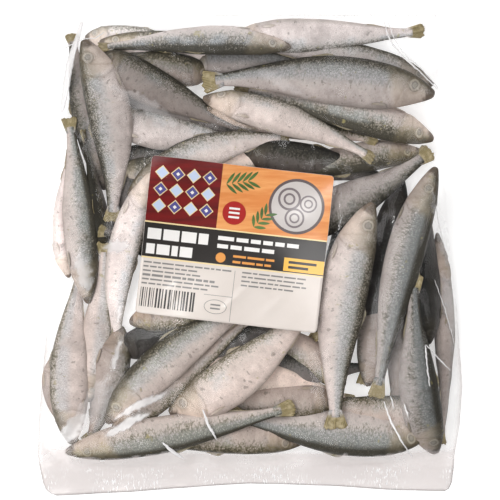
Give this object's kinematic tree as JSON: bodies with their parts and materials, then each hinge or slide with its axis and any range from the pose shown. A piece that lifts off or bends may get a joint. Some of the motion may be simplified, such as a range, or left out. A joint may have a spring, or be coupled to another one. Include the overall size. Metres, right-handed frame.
{
  "type": "bag of frozen herring",
  "caption": "Clear sealed film bag filled with whole frozen Baltic herring that lie across each other, with a welded band at its foot and a paper label on its front.",
  "frame": {"origin": "middle of the bounding box's footprint, on the surface that the bag lies on", "axes": "+X to the right of the label as it is read, +Y along the bag from its welded foot to its head, +Z out of its front"},
  "size_m": [0.277, 0.315, 0.0371],
  "materials": {
    "clear_film": "clear glossy film over silver and dark frozen fish",
    "label_paper": "coated paper, printed in fields of colour"
  },
  "bodies": {
    "root": {"bag": "clear_film", "label": "label_paper"}
  },
  "joints": []
}
